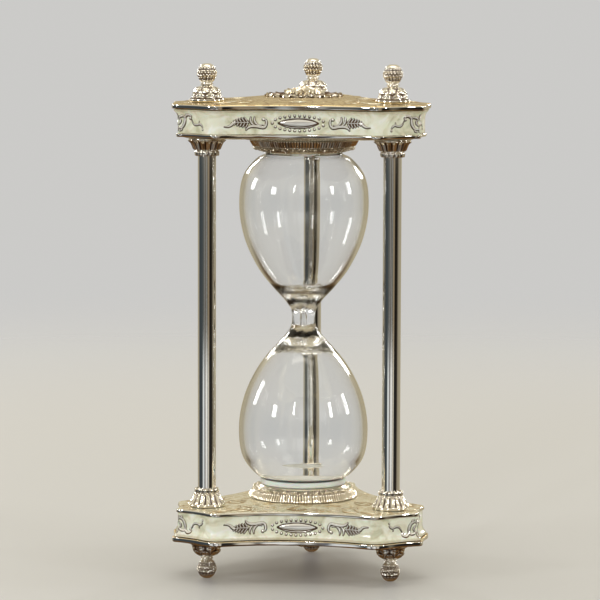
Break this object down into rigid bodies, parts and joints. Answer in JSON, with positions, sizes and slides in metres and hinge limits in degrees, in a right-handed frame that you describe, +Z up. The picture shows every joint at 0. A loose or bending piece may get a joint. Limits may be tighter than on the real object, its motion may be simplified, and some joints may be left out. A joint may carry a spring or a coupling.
{
  "type": "hourglass",
  "caption": "Sand timer: a clear double glass bulb held between two silver-plated, enamel-banded three-cornered plates on slim pillars, standing on ball feet.",
  "frame": {"origin": "bottom centre of the bounding box, at the level of the tips of the feet", "axes": "+Z up along the glass, +Y towards the single back pillar, +X to the right"},
  "size_m": [0.1138, 0.1082, 0.228],
  "materials": {
    "silver_plate": "polished silver plate, slightly warm",
    "pearl_enamel": "glossy cream pearl enamel",
    "steel": "plain turned steel",
    "clear_glass": "clear blown glass",
    "silicone": "translucent white silicone",
    "white_sand": "fine dry white sand"
  },
  "bodies": {
    "root": {"lower_plate": "silver_plate", "lower_enamel_band": "pearl_enamel", "lower_cover": "silver_plate", "lower_seat_ring": "silver_plate", "lower_rosette": "silver_plate", "lower_rosette_nut": "steel", "lower_capital_left": "silver_plate", "lower_capital_right": "silver_plate", "lower_capital_back": "silver_plate", "upper_plate": "silver_plate", "upper_enamel_band": "pearl_enamel", "upper_cover": "silver_plate", "upper_seat_ring": "silver_plate", "upper_rosette": "silver_plate", "upper_rosette_nut": "steel", "upper_capital_left": "silver_plate", "upper_capital_right": "silver_plate", "upper_capital_back": "silver_plate", "foot_left": "silver_plate", "foot_right": "silver_plate", "foot_back": "silver_plate", "finial_left": "silver_plate", "finial_right": "silver_plate", "finial_back": "silver_plate", "pillar_left": "silver_plate", "tie_rod_left": "steel", "pillar_right": "silver_plate", "tie_rod_right": "steel", "pillar_back": "silver_plate", "tie_rod_back": "steel", "glass_vial": "clear_glass", "sand": "white_sand", "lower_gasket": "silicone", "upper_gasket": "silicone", "lower_stopper": "silicone", "upper_stopper": "silicone"}
  },
  "joints": []
}
